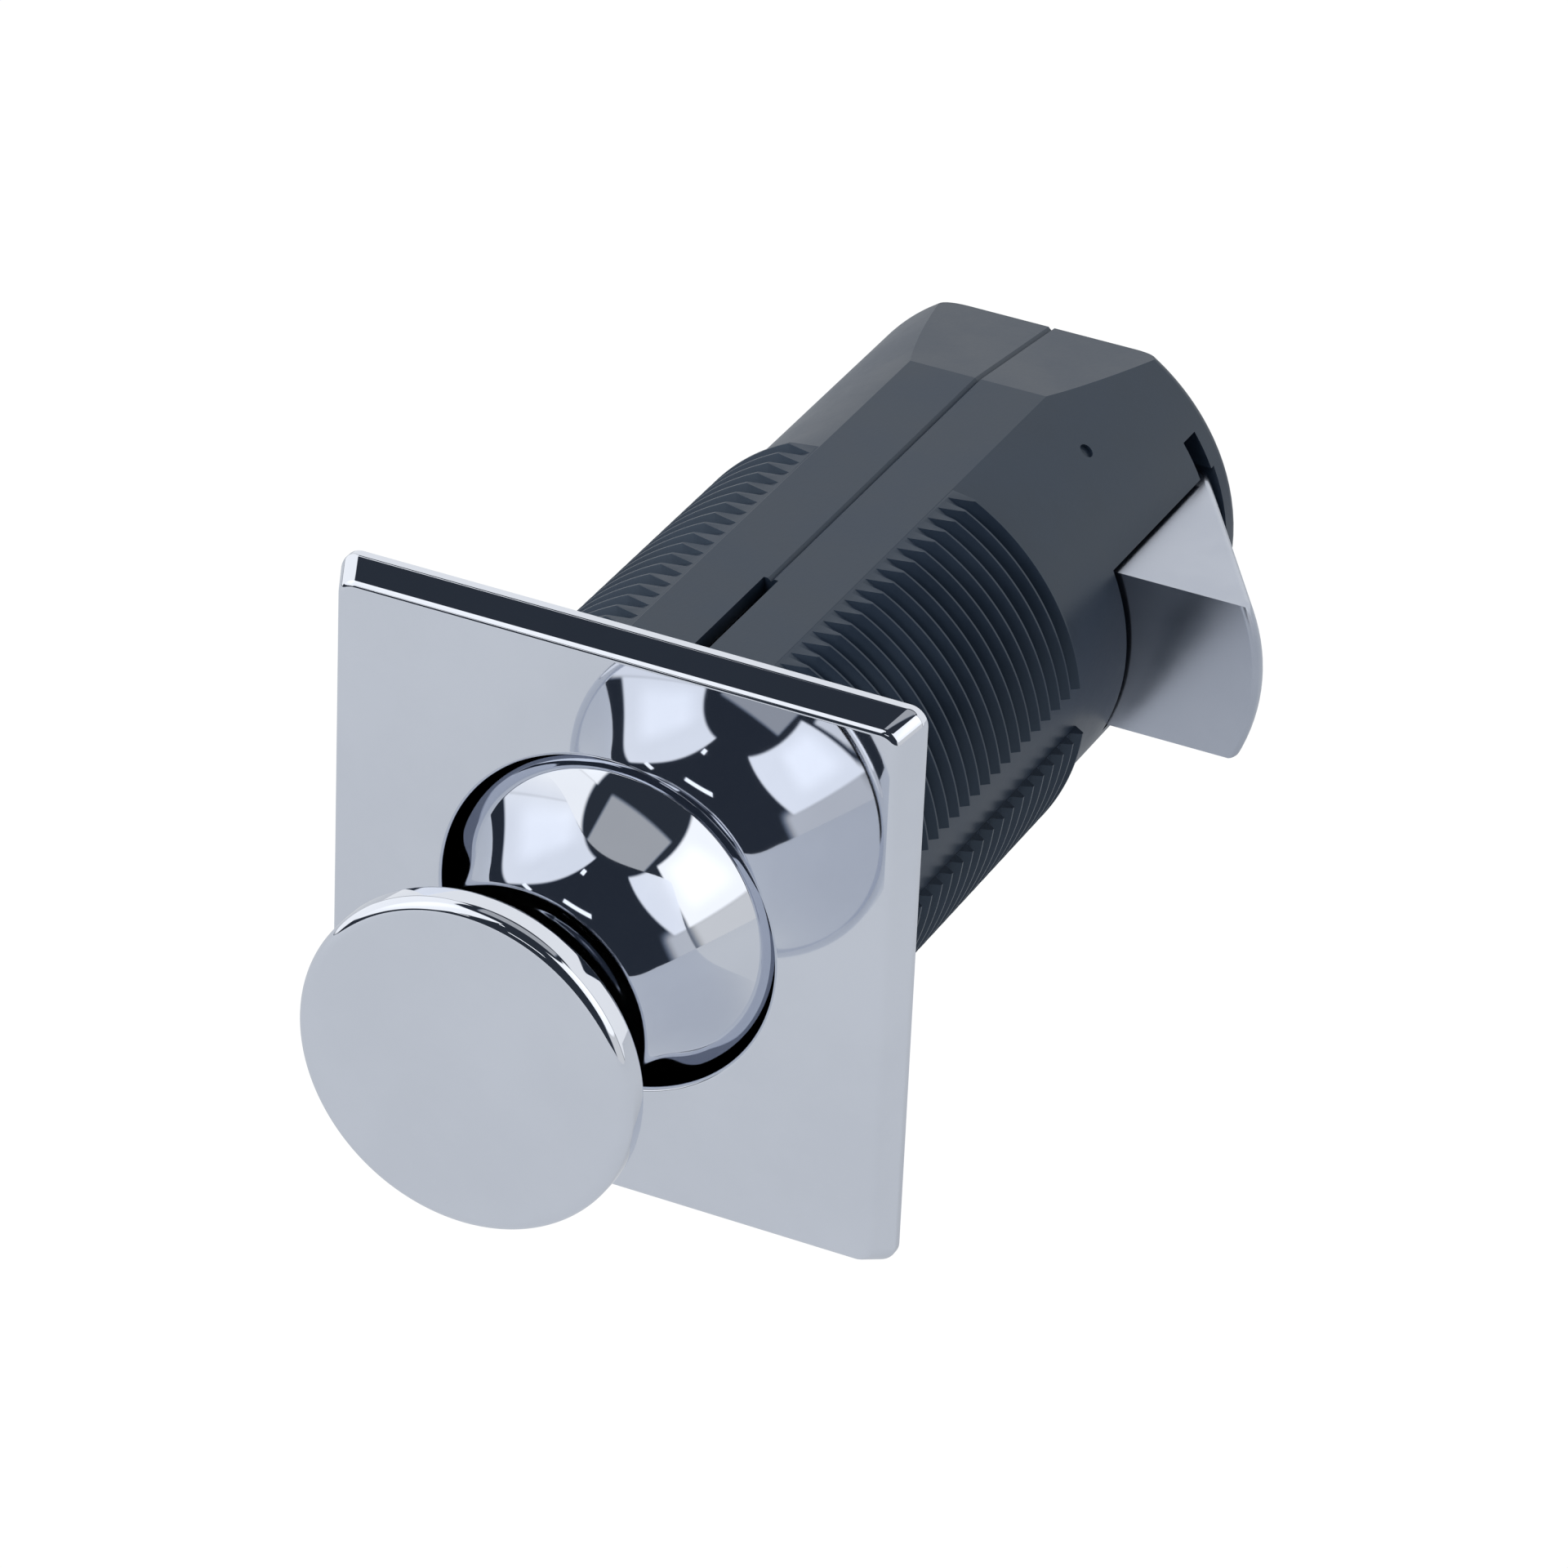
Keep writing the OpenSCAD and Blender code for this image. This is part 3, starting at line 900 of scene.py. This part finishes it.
@dataclass
class Thread:
    """Ridges of the interrupted metric thread, on four sectors of the barrel."""

    root: float = 14.3 * MM
    base: float = 14.0 * MM
    crest: float = 15.0 * MM
    pitch: float = 1.5 * MM
    crest_width: float = 0.16 * MM
    root_width: float = 0.50 * MM
    edge_width: float = 0.05 * MM
    start: float = 1.0 * MM
    end: float = 36.3 * MM
    marked_crest: float = 35.55 * MM
    marked_angle: float = 42.0
    flat: float = 13.38 * MM
    step_angle: float = 1.5
    least_steps: int = 8
    sectors: dict[str, tuple[float, float]] = field(
        default_factory=lambda: {
            "thread_upper_right": (8.5, 78.0),
            "thread_lower_right": (-78.0, -5.5),
            "thread_upper_left": (102.0, 171.5),
            "thread_lower_left": (185.5, 258.0),
        }
    )

    def comb(self, angle: float) -> Outline:
        """Draws the section of the ridges.

        Args:
            angle: Where round the barrel it is drawn, in degrees from +X up.

        Returns:
            The closed section, with its ridges where they are at that angle.
        """
        crest = self.marked_crest - self.pitch * (angle - self.marked_angle) / 360
        while crest + self.pitch / 2 > self.end:
            crest -= self.pitch
        outline = Outline().to(self.base, crest + self.pitch / 2)
        half_root = (self.pitch - self.root_width) / 2
        half_crest = self.crest_width / 2
        last = crest + self.pitch / 2
        while crest - self.pitch / 2 > self.start - self.pitch / 4:
            last = crest - self.pitch / 2
            for place, radius in (
                (half_root, self.root),
                (half_crest + self.edge_width, self.crest - self.edge_width),
                (half_crest, self.crest),
                (-half_crest, self.crest),
                (-half_crest - self.edge_width, self.crest - self.edge_width),
                (-half_root, self.root),
            ):
                outline.to(radius, crest + place)
            crest -= self.pitch
        return outline.to(self.base, last)

    def sector(self, name: str, low: float, high: float) -> Piece:
        """Sweeps the ridges along a helix over one sector, and trims them by the flats.

        Args:
            name: The new piece's name.
            low: Its first angle, in degrees from +X up.
            high: Its last angle.

        Returns:
            The ridges of the sector.
        """
        piece = self.comb(low).draw(name, closed=True)
        take(piece)
        start = math.radians(low)
        bpy.ops.transform.rotate(value=start, orient_axis=Axis.Y.value, center_override=(0, 0, 0))
        # The operator can turn either way, so a section that went down in place of up is turned back
        if centre_of(piece).z * math.sin(start) < 0:
            bpy.ops.transform.rotate(value=-2 * start, orient_axis=Axis.Y.value, center_override=(0, 0, 0))
        settle(piece)
        bpy.ops.object.modifier_add(type="SCREW")
        sweep = piece.modifiers[-1]
        sweep.axis = Axis.Y.value
        sweep.angle = -math.radians(high - low)
        sweep.screw_offset = self.pitch * (high - low) / 360
        sweep.steps = sweep.render_steps = max(self.least_steps, round((high - low) / self.step_angle))
        sweep.use_merge_vertices = False
        sweep.use_smooth_shade = False
        bpy.ops.object.modifier_apply(modifier=sweep.name)
        with editing(piece):
            for side in (low, high):
                normal = Vector((-math.sin(math.radians(side)), 0, math.cos(math.radians(side))))
                pick_edges(piece, lambda a, b, _: max(abs(a.dot(normal)), abs(b.dot(normal))) < MERGE)
                bpy.ops.mesh.edge_face_add()
            for turn in (1, -1):
                cut_through((0, 0, turn * self.flat), (0, 0, turn), drop=True)
        close_up(piece)
        smooth(piece)
        return piece

    def build(self, paint: Paint) -> None:
        """Builds the four sectors in place of their CAD bands.

        Args:
            paint: What coats and fits them.
        """
        for node, (low, high) in self.sectors.items():
            piece = self.sector(node.replace("thread", "ridges"), low, high)
            paint.fit(piece, Body.BASE, Slot.PLASTIC, node)


@dataclass
class Bolt:
    """Die-cast slam bolt: crowned tip, long bevel to the rear and broken edges."""

    tail: float = -2.311 * MM
    tip: float = 23.2 * MM
    front: float = 43.3 * MM
    rear: float = 58.6 * MM
    half_height: float = 5.65 * MM
    land: float = 1.1 * MM
    bevel_angle: float = 33.0
    crown: float = 14.25 * MM
    rows: int = 16
    edge: float = 0.5 * MM
    edge_steps: int = 6
    sharp_angle: float = 20.0
    pin_radius: float = 1.2 * MM
    pin_x: float = 5 * MM
    pin_y: float = 47 * MM
    bore_radius: float = 3 * MM
    bore_y: float = 52.5 * MM
    bore_end: float = 9 * MM

    def level(self, row: int) -> float:
        """How high a row of the crown stands."""
        return -self.half_height + 2 * self.half_height * row / self.rows

    def sink(self, height: float) -> float:
        """How far the crown lies below its middle at a height."""
        return self.crown - math.sqrt(self.crown**2 - height**2)

    def form(self) -> Piece:
        """Cuts the bevel from a block, and crowns the land and the bevel row by row.

        Returns:
            The bolt with sharp edges.
        """
        top = self.half_height
        piece = block(Vector((self.tail, self.front, -top)), Vector((self.tip, self.rear, top)))
        slope = math.radians(self.bevel_angle)
        land_end = self.front + self.land
        normal = (math.cos(slope), math.sin(slope), 0)
        with editing(piece):
            cut_through((self.tip, land_end, 0), normal, drop=True)
            for row in range(1, self.rows):
                cut_through((0, 0, self.level(row)), (0, 0, 1))
        end_x = self.tip - math.tan(slope) * (self.rear - land_end)
        shifts = (
            ((self.tip, self.front), (-1.0, 0.0)),
            ((self.tip, land_end), (-1.0, -math.tan(slope / 2))),
            ((end_x, self.rear), (-1 / math.cos(slope), 0.0)),
        )
        with editing(piece, Element.VERTICES):
            for row in range(self.rows + 1):
                height = self.level(row)
                depth = self.sink(height)
                if depth < MERGE:
                    continue
                for (x, y), (dx, dy) in shifts:
                    corner = Vector((x, y, height))
                    pick_vertices(piece, lambda co: (co - corner).length < NEAR)
                    bpy.ops.transform.translate(value=(dx * depth, dy * depth, 0))
        return piece

    def break_edges(self, piece: Piece) -> None:
        """Rounds the long edges and the tip's edges.

        Args:
            piece: The bolt with sharp edges.
        """
        sharp = math.radians(self.sharp_angle)

        def outside(a: Vector, b: Vector, angle: float) -> bool:
            """Tells whether an edge is sharp and doesn't lie on the tail's end."""
            return angle > sharp and min(a.x, b.x) > self.tail + MERGE

        with editing(piece):
            pick_edges(piece, outside)
            bpy.ops.mesh.bevel(offset=self.edge, segments=self.edge_steps, profile=0.5, clamp_overlap=True)

    def build(self, paint: Paint) -> None:
        """Builds the bolt and fits it in place of its CAD node.

        Args:
            paint: What coats and fits it.
        """
        piece = name_piece(self.form(), "slam_bolt")
        self.break_edges(piece)
        reach = 2 * self.half_height
        pin_hole = rod(Axis.Z, self.pin_radius, -reach, reach, (self.pin_x, self.pin_y))
        combine(piece, pin_hole, Solid.CUT)
        bore = rod(Axis.X, self.bore_radius, 2 * self.tail, self.bore_end, (self.bore_y, 0))
        combine(piece, bore, Solid.CUT)
        close_up(piece)
        smooth(piece, weighted=True)
        paint.fit(piece, Body.BOLT, Slot.ZINC, "bolt")


@dataclass
class Coil:
    """Helical spring, wound between two places along its axis."""

    node: str
    joint: str
    body: Body
    axis: Axis
    start: float
    end: float
    fixed: float
    stroke: float
    radius: float
    wire: float
    turns: int
    shift: float = 0.0
    wire_sides: int = 12
    steps: int = 32

    def wind(self) -> Piece:
        """Sweeps the wire's section round the spring's axis, and closes its ends.

        Returns:
            The spring.
        """
        place = self.start + self.wire / 2
        clear_selection()
        bpy.ops.mesh.primitive_circle_add(
            vertices=self.wire_sides,
            radius=self.wire / 2,
            location=(place, self.radius, 0) if self.axis is Axis.X else (self.radius, place, 0),
        )
        piece = name_piece(bpy.context.object, self.node + "_coil")
        settle(piece)
        bpy.ops.object.modifier_add(type="SCREW")
        sweep = piece.modifiers[-1]
        sweep.axis = self.axis.value
        sweep.angle = TURN * self.turns
        sweep.screw_offset = self.end - self.start - self.wire
        sweep.steps = sweep.render_steps = self.steps * self.turns
        sweep.use_merge_vertices = False
        bpy.ops.object.modifier_apply(modifier=sweep.name)
        piece.location = (0, self.shift, 0)
        settle(piece)
        with editing(piece):
            bpy.ops.mesh.select_all(action="SELECT")
            bpy.ops.mesh.fill_holes(sides=0)
        close_up(piece)
        smooth(piece)
        return piece

    def build(self, paint: Paint) -> None:
        """Builds the spring in place of its CAD node, puts it on its body and gives it a mesh of its own.

        Args:
            paint: What coats and fits it.
        """
        piece = self.wind()
        paint.fit(piece, self.body, Slot.WIRE, self.node)
        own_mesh(piece)


SPRINGS = (
    Coil(
        node="main_spring",
        joint="knob_push",
        body=Body.CARRIAGE,
        axis=Axis.Y,
        start=-10.4 * MM,
        end=41.6 * MM,
        fixed=41.6 * MM,
        stroke=17.5 * MM,
        radius=3.9 * MM,
        wire=0.8 * MM,
        turns=16,
    ),
    Coil(
        node="bolt_spring",
        joint="bolt_slide",
        body=Body.BASE,
        axis=Axis.X,
        start=-11.7 * MM,
        end=9 * MM,
        fixed=-11.7 * MM,
        stroke=8.2 * MM,
        radius=2.4 * MM,
        wire=0.6 * MM,
        turns=9,
        shift=52.5 * MM,
    ),
)


@dataclass
class Works:
    """The CAD nodes that keep their own shape."""

    nodes: dict[Slot, tuple[str, ...]] = field(
        default_factory=lambda: {
            Slot.PLASTIC: ("housing_left", "housing_right"),
            Slot.ACETAL: ("plunger", "carriage", "spring_seat"),
            Slot.STEEL: (
                "stem_screw",
                "cam_plate_top",
                "cam_plate_bottom",
                "cam_wire",
                "drive_pin",
                "spring_rod",
            ),
        }
    )

    def build(self, paint: Paint) -> None:
        """Dresses each node with its slot's material.

        Args:
            paint: What coats the nodes.
        """
        for slot, nodes in self.nodes.items():
            for node in nodes:
                paint.dress_node(node, slot)
                LOG.info("%s dressed as %s", node, slot.value)


# Studio


@dataclass(frozen=True)
class Panel:
    """A soft box of the studio, as a patch of the sky in degrees.

    Azimuth is 0 toward -Y and grows toward +X. A lean moves a side by that many degrees for
    each degree of elevation.
    """

    low_azimuth: float
    high_azimuth: float
    low_elevation: float
    high_elevation: float
    strength: float
    softness: float = 2.5
    low_lean: float = 0.0
    high_lean: float = 0.0

    def cover(self, tree: Tree, azimuth: Socket, elevation: Socket) -> Socket:
        """Makes the panel's mask.

        Args:
            tree: The world's nodes.
            azimuth: Azimuth of the ray.
            elevation: Elevation of the ray.

        Returns:
            The mask, 1 on the panel.
        """
        soft = self.softness
        above = tree.math("SUBTRACT", elevation, self.low_elevation)
        left = tree.math("SUBTRACT", azimuth, tree.math("MULTIPLY", above, self.low_lean))
        right = tree.math("SUBTRACT", azimuth, tree.math("MULTIPLY", above, self.high_lean))
        sides = tree.math(
            "MULTIPLY",
            tree.ramp(left, self.low_azimuth, self.low_azimuth + soft, 0, 1),
            tree.ramp(right, self.high_azimuth - soft, self.high_azimuth, 1, 0),
        )
        rows = tree.band(elevation, self.low_elevation, self.high_elevation, soft)
        return tree.math("MULTIPLY", rows, sides)


@dataclass(frozen=True)
class Ceiling:
    """A lit square of the room's ceiling, one unit of height above the latch."""

    low_x: float = -0.33
    high_x: float = 0.58
    low_y: float = -0.12
    high_y: float = 0.60
    strength: float = 0.45
    softness: float = 0.05
    low_rise: float = 0.3
    high_rise: float = 0.4
    least_rise: float = 0.01

    def cover(self, tree: Tree, x: Socket, y: Socket, z: Socket) -> Socket:
        """Makes the square's mask.

        Args:
            tree: The world's nodes.
            x: The ray's part along X.
            y: The ray's part along Y.
            z: The ray's part along Z.

        Returns:
            The mask, 1 on the square.
        """
        inside = tree.ramp(z, self.low_rise, self.high_rise, 0, 1)
        rise = tree.math("MAXIMUM", z, self.least_rise)
        for value, low, high in ((x, self.low_x, self.high_x), (y, self.low_y, self.high_y)):
            place = tree.math("DIVIDE", value, rise)
            inside = tree.math("MULTIPLY", inside, tree.band(place, low, high, self.softness))
        return inside


@dataclass
class Studio:
    """Pale floor, soft boxes and the camera."""

    floor_height: float = -46 * MM
    floor_size: float = 1.15
    paper_colour: Triple = (0.30, 0.31, 0.32)
    paper_glow: Triple = (0.90, 0.93, 0.98)
    paper_strength: float = 0.38
    paper_roughness: float = 0.9
    paper_specular: float = 0.1
    white_strength: float = 1.06
    white_share: float = 0.90
    lens: float = 187.73
    sensor: float = 36.0
    azimuth: float = 24.781
    elevation: float = 30.907
    roll: float = 2.62
    distance: float = 0.496964
    aim_right: float = 9.34 * MM
    aim_up: float = 7.732 * MM
    near: float = 0.01
    far: float = 50.0
    lamp_place: Triple = (-0.5, -0.8, 0.9)
    lamp_aim: Triple = (0, 0.02, 0)
    lamp_size: float = 0.6
    lamp_power: float = 8.0
    sky: float = 0.042
    dark_tint: Triple = (0.62, 0.80, 1.12)
    light_tint: Triple = (0.97, 0.985, 1.0)
    tint_gain: float = 2.0
    ceiling: Ceiling = Ceiling()
    panels: tuple[Panel, ...] = (
        Panel(-135, -76, -6, 62, 1.1, 3),
        Panel(-79, -30, 4, 63, 1.15, 2.5, high_lean=0.4),
        Panel(-80, -34, 10, 63, 1.35, 16),
        Panel(52, 112, -15, 17, 0.72, 9),
        Panel(62, 109, 9, 57, 1.2, 2.5, low_lean=-0.5),
        Panel(66, 108, 14, 57, 1.4, 14),
        Panel(109, 190, -12, 50, 0.95, 3),
        Panel(-190, -134, -12, 50, 0.95, 3),
        Panel(-8, 10, 23, 27, 1.6, 0.8),
        Panel(-28, -22, 12.5, 16, 1.5, 0.8),
        Panel(-11, -6, 48, 52.5, 1.6, 0.8),
    )

    def lay_floor(self) -> None:
        """Lays the floor, which shows white to the camera where nothing shades it."""
        clear_selection()
        bpy.ops.mesh.primitive_plane_add(size=self.floor_size, location=(0, 0, self.floor_height))
        floor = name_piece(bpy.context.object, "studio_floor")
        settle(floor)
        paper = bpy.data.materials.new("studio_paper")
        paper.use_nodes = True
        tree = Tree(paper.node_tree)
        shader = paper.node_tree.nodes["Principled BSDF"]
        shader.inputs["Base Color"].default_value = (*self.paper_colour, 1)
        shader.inputs["Emission Color"].default_value = (*self.paper_glow, 1)
        shader.inputs["Emission Strength"].default_value = self.paper_strength
        shader.inputs["Roughness"].default_value = self.paper_roughness
        shader.inputs["Specular IOR Level"].default_value = self.paper_specular
        floor.data.materials.append(paper)
        light = tree.add("Emission", Strength=self.white_strength)
        seen = tree.add("LightPath").outputs["Is Camera Ray"]
        blend = tree.add("MixShader")
        tree.join(tree.math("MULTIPLY", seen, self.white_share), blend.inputs[0])
        tree.join(shader.outputs[0], blend.inputs[1])
        tree.join(light.outputs[0], blend.inputs[2])
        tree.join(blend.outputs[0], paper.node_tree.nodes["Material Output"].inputs["Surface"])

    def sky_level(self, tree: Tree) -> Socket:
        """Lays the panels over the dim room, one over the other.

        Args:
            tree: The world's nodes.

        Returns:
            The sky's strength.
        """
        parts = tree.add("SeparateXYZ")
        tree.join(tree.add("TexCoord").outputs["Generated"], parts.inputs[0])
        x, y, z = parts.outputs
        degree = math.degrees(1)
        azimuth = tree.math("MULTIPLY", tree.math("ARCTAN2", x, tree.math("MULTIPLY", y, -1.0)), degree)
        elevation = tree.math("MULTIPLY", tree.math("ARCSINE", z), degree)
        lit = self.ceiling.strength - self.sky
        level = tree.math("MULTIPLY_ADD", self.ceiling.cover(tree, x, y, z), lit, self.sky)
        for panel in self.panels:
            inside = panel.cover(tree, azimuth, elevation)
            rest = tree.math("MULTIPLY", level, tree.math("SUBTRACT", 1.0, inside))
            level = tree.math("ADD", rest, tree.math("MULTIPLY", inside, panel.strength))
        return level

    def light_sky(self) -> None:
        """Builds the world: white to the camera, and soft boxes in a dim room to everything else."""
        world = bpy.data.worlds.new("studio_sky")
        bpy.context.scene.world = world
        world.use_nodes = True
        world.node_tree.nodes.clear()
        tree = Tree(world.node_tree)
        level = self.sky_level(tree)
        tint = tree.add("Mix", data_type="RGBA")
        tint.inputs["A"].default_value = (*self.dark_tint, 1)
        tint.inputs["B"].default_value = (*self.light_tint, 1)
        tree.join(tree.math("MULTIPLY", level, self.tint_gain, clamp=True), tint.inputs["Factor"])
        room = tree.add("Background")
        tree.join(tint.outputs["Result"], room.inputs["Color"])
        tree.join(level, room.inputs["Strength"])
        white = tree.add("Background", Strength=1.0)
        white.inputs["Color"].default_value = (1, 1, 1, 1)
        blend = tree.add("MixShader")
        tree.join(tree.add("LightPath").outputs["Is Camera Ray"], blend.inputs[0])
        tree.join(room.outputs[0], blend.inputs[1])
        tree.join(white.outputs[0], blend.inputs[2])
        tree.join(blend.outputs[0], tree.add("OutputWorld").inputs["Surface"])

    def add_lamp(self) -> None:
        """Adds a square area lamp that faces the latch and doesn't show in its mirrors."""
        lamp = bpy.data.lights.new("key_lamp", "AREA")
        lamp.size = self.lamp_size
        lamp.energy = self.lamp_power
        holder = bpy.data.objects.new("key_lamp", lamp)
        place = Vector(self.lamp_place)
        holder.location = place
        holder.rotation_euler = (place - Vector(self.lamp_aim)).to_track_quat("Z", "Y").to_euler()
        holder.visible_glossy = False
        bpy.context.scene.collection.objects.link(holder)

    def set_camera(self) -> None:
        """Places the camera where the photograph was taken from."""
        azimuth, elevation, roll = (math.radians(a) for a in (self.azimuth, self.elevation, self.roll))
        level = math.cos(elevation)
        back = Vector((math.sin(azimuth) * level, -math.cos(azimuth) * level, math.sin(elevation)))
        right = Vector((math.cos(azimuth), math.sin(azimuth), 0))
        up = back.cross(right)
        aim = right * self.aim_right + up * self.aim_up
        rolled_right = right * math.cos(roll) + up * math.sin(roll)
        rolled_up = up * math.cos(roll) - right * math.sin(roll)
        camera = bpy.data.cameras.new("camera")
        camera.lens = self.lens
        camera.sensor_width = self.sensor
        camera.clip_start = self.near
        camera.clip_end = self.far
        holder = bpy.data.objects.new("camera", camera)
        turn = Matrix((rolled_right, rolled_up, back)).transposed().to_4x4()
        holder.matrix_world = Matrix.Translation(aim + back * self.distance) @ turn
        bpy.context.scene.collection.objects.link(holder)
        bpy.context.scene.camera = holder

    def build(self) -> None:
        """Sets up the whole studio."""
        self.lay_floor()
        self.light_sky()
        self.add_lamp()
        self.set_camera()
        bpy.context.scene.view_settings.view_transform = "Standard"


def main() -> None:
    """Builds the latch piece by piece, and the studio round it."""
    logging.basicConfig(level=logging.INFO, format="%(name)s: %(message)s")
    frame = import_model()
    clear_selection()
    paint = Paint(frame)
    paint.mix()
    for assembly in (Works(), Faceplate(), Knob(), Thread(), Bolt(), *SPRINGS):
        assembly.build(paint)
    Studio().build()


if __name__ == "__main__":
    main()
